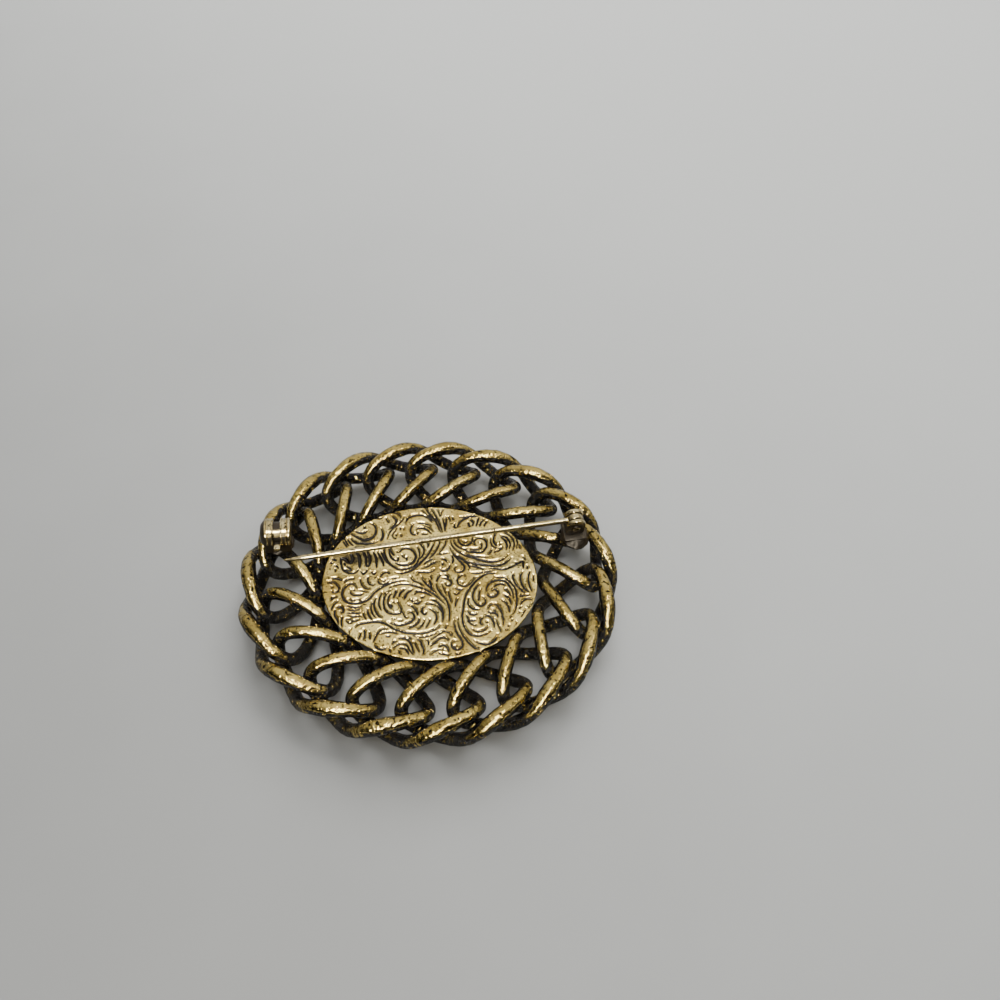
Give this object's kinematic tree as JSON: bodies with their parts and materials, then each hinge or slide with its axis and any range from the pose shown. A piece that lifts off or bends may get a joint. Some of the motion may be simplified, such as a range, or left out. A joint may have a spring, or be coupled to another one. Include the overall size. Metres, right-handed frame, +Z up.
{
  "type": "glass cabochon brooch",
  "caption": "Oval brooch lying face down: glass cabochon in a cup with an embossed back plate, ringed by interlocked curb links, with a hinged pin stem and a turning safety catch.",
  "frame": {"origin": "on the surface the brooch lies on, under the middle of its bounding box", "axes": "+Z is up: the brooch lies face down, so its back faces +Z and the stone faces -Z. +X runs along the long axis towards the hinge. +Y points away from the viewer"},
  "size_m": [0.061, 0.0526, 0.0132],
  "materials": {
    "wire_metal": "antiqued gold tone on round wire with a hammered, pitted skin, bright on the crests and nearly black in the hollows",
    "plate_metal": "antiqued gold tone, with bright scrollwork over a darkened ground",
    "stone_glass": "smooth, glossy amber glass; the colour is a guess",
    "fitting_metal": "polished gold tone with darkened hollows"
  },
  "bodies": {
    "setting": {"link_01": "wire_metal", "link_02": "wire_metal", "link_03": "wire_metal", "link_04": "wire_metal", "link_05": "wire_metal", "link_06": "wire_metal", "link_07": "wire_metal", "link_08": "wire_metal", "link_09": "wire_metal", "link_10": "wire_metal", "link_11": "wire_metal", "link_12": "wire_metal", "link_13": "wire_metal", "link_14": "wire_metal", "link_15": "wire_metal", "link_16": "wire_metal", "link_17": "wire_metal", "link_18": "wire_metal", "link_19": "wire_metal", "back_plate": "plate_metal", "setting_cup": "plate_metal", "cabochon": "stone_glass", "hinge_bracket": "fitting_metal", "hinge_rivet": "fitting_metal", "catch_body": "fitting_metal"},
    "pin": {"pin_stem": "fitting_metal"},
    "barrel": {"catch_barrel": "fitting_metal"}
  },
  "joints": [
    {"name": "pin_hinge", "type": "hinge", "parent": "setting", "child": "pin", "pos_m": [0.02305, 0.00859, 0.0101], "axis": [-0.1793, 0.9838, 0], "range_deg": [0, 100]},
    {"name": "barrel_turn", "type": "hinge", "parent": "setting", "child": "barrel", "pos_m": [-0.0244, 0.00454, 0.0105], "axis": [-0.9688, -0.1766, 0.1736], "range_deg": [0, 100]}
  ]
}
